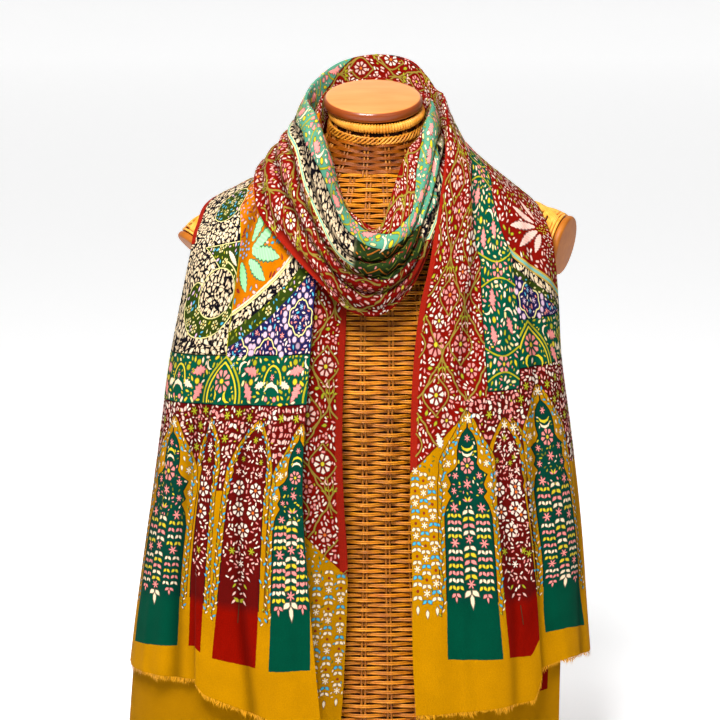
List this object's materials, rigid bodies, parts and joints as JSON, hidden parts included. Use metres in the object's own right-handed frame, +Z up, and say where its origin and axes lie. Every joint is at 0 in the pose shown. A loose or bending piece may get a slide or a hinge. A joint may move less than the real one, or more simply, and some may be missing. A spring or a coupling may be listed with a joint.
{
  "type": "pashmina shawl on a dress form",
  "caption": "Patterned pashmina shawl folded lengthwise and wrapped once round the neck of a limbless wicker dress form, ends hanging in front.",
  "frame": {"origin": "centre of the flat bottom of the dress form's torso", "axes": "+Z up the torso, -Y the front of the form, +X to the viewer's right when the front is looked at"},
  "size_m": [0.5472, 0.2563, 0.8255],
  "materials": {
    "shawl_cloth": "fine soft wool with dense coloured embroidery, red, mustard and green grounds",
    "wicker": "woven rattan, light varnish",
    "varnished_wood": "gloss varnish"
  },
  "bodies": {
    "root": {"left_end_front": "shawl_cloth", "left_end_under": "shawl_cloth", "nape_inner_pass": "shawl_cloth", "cowl": "shawl_cloth", "nape_outer_pass": "shawl_cloth", "right_end_front": "shawl_cloth", "right_end_under": "shawl_cloth", "form_torso": "wicker", "neck_ring": "wicker", "neck_cap": "varnished_wood", "arm_cap_left": "varnished_wood", "arm_cap_right": "varnished_wood"}
  },
  "joints": []
}
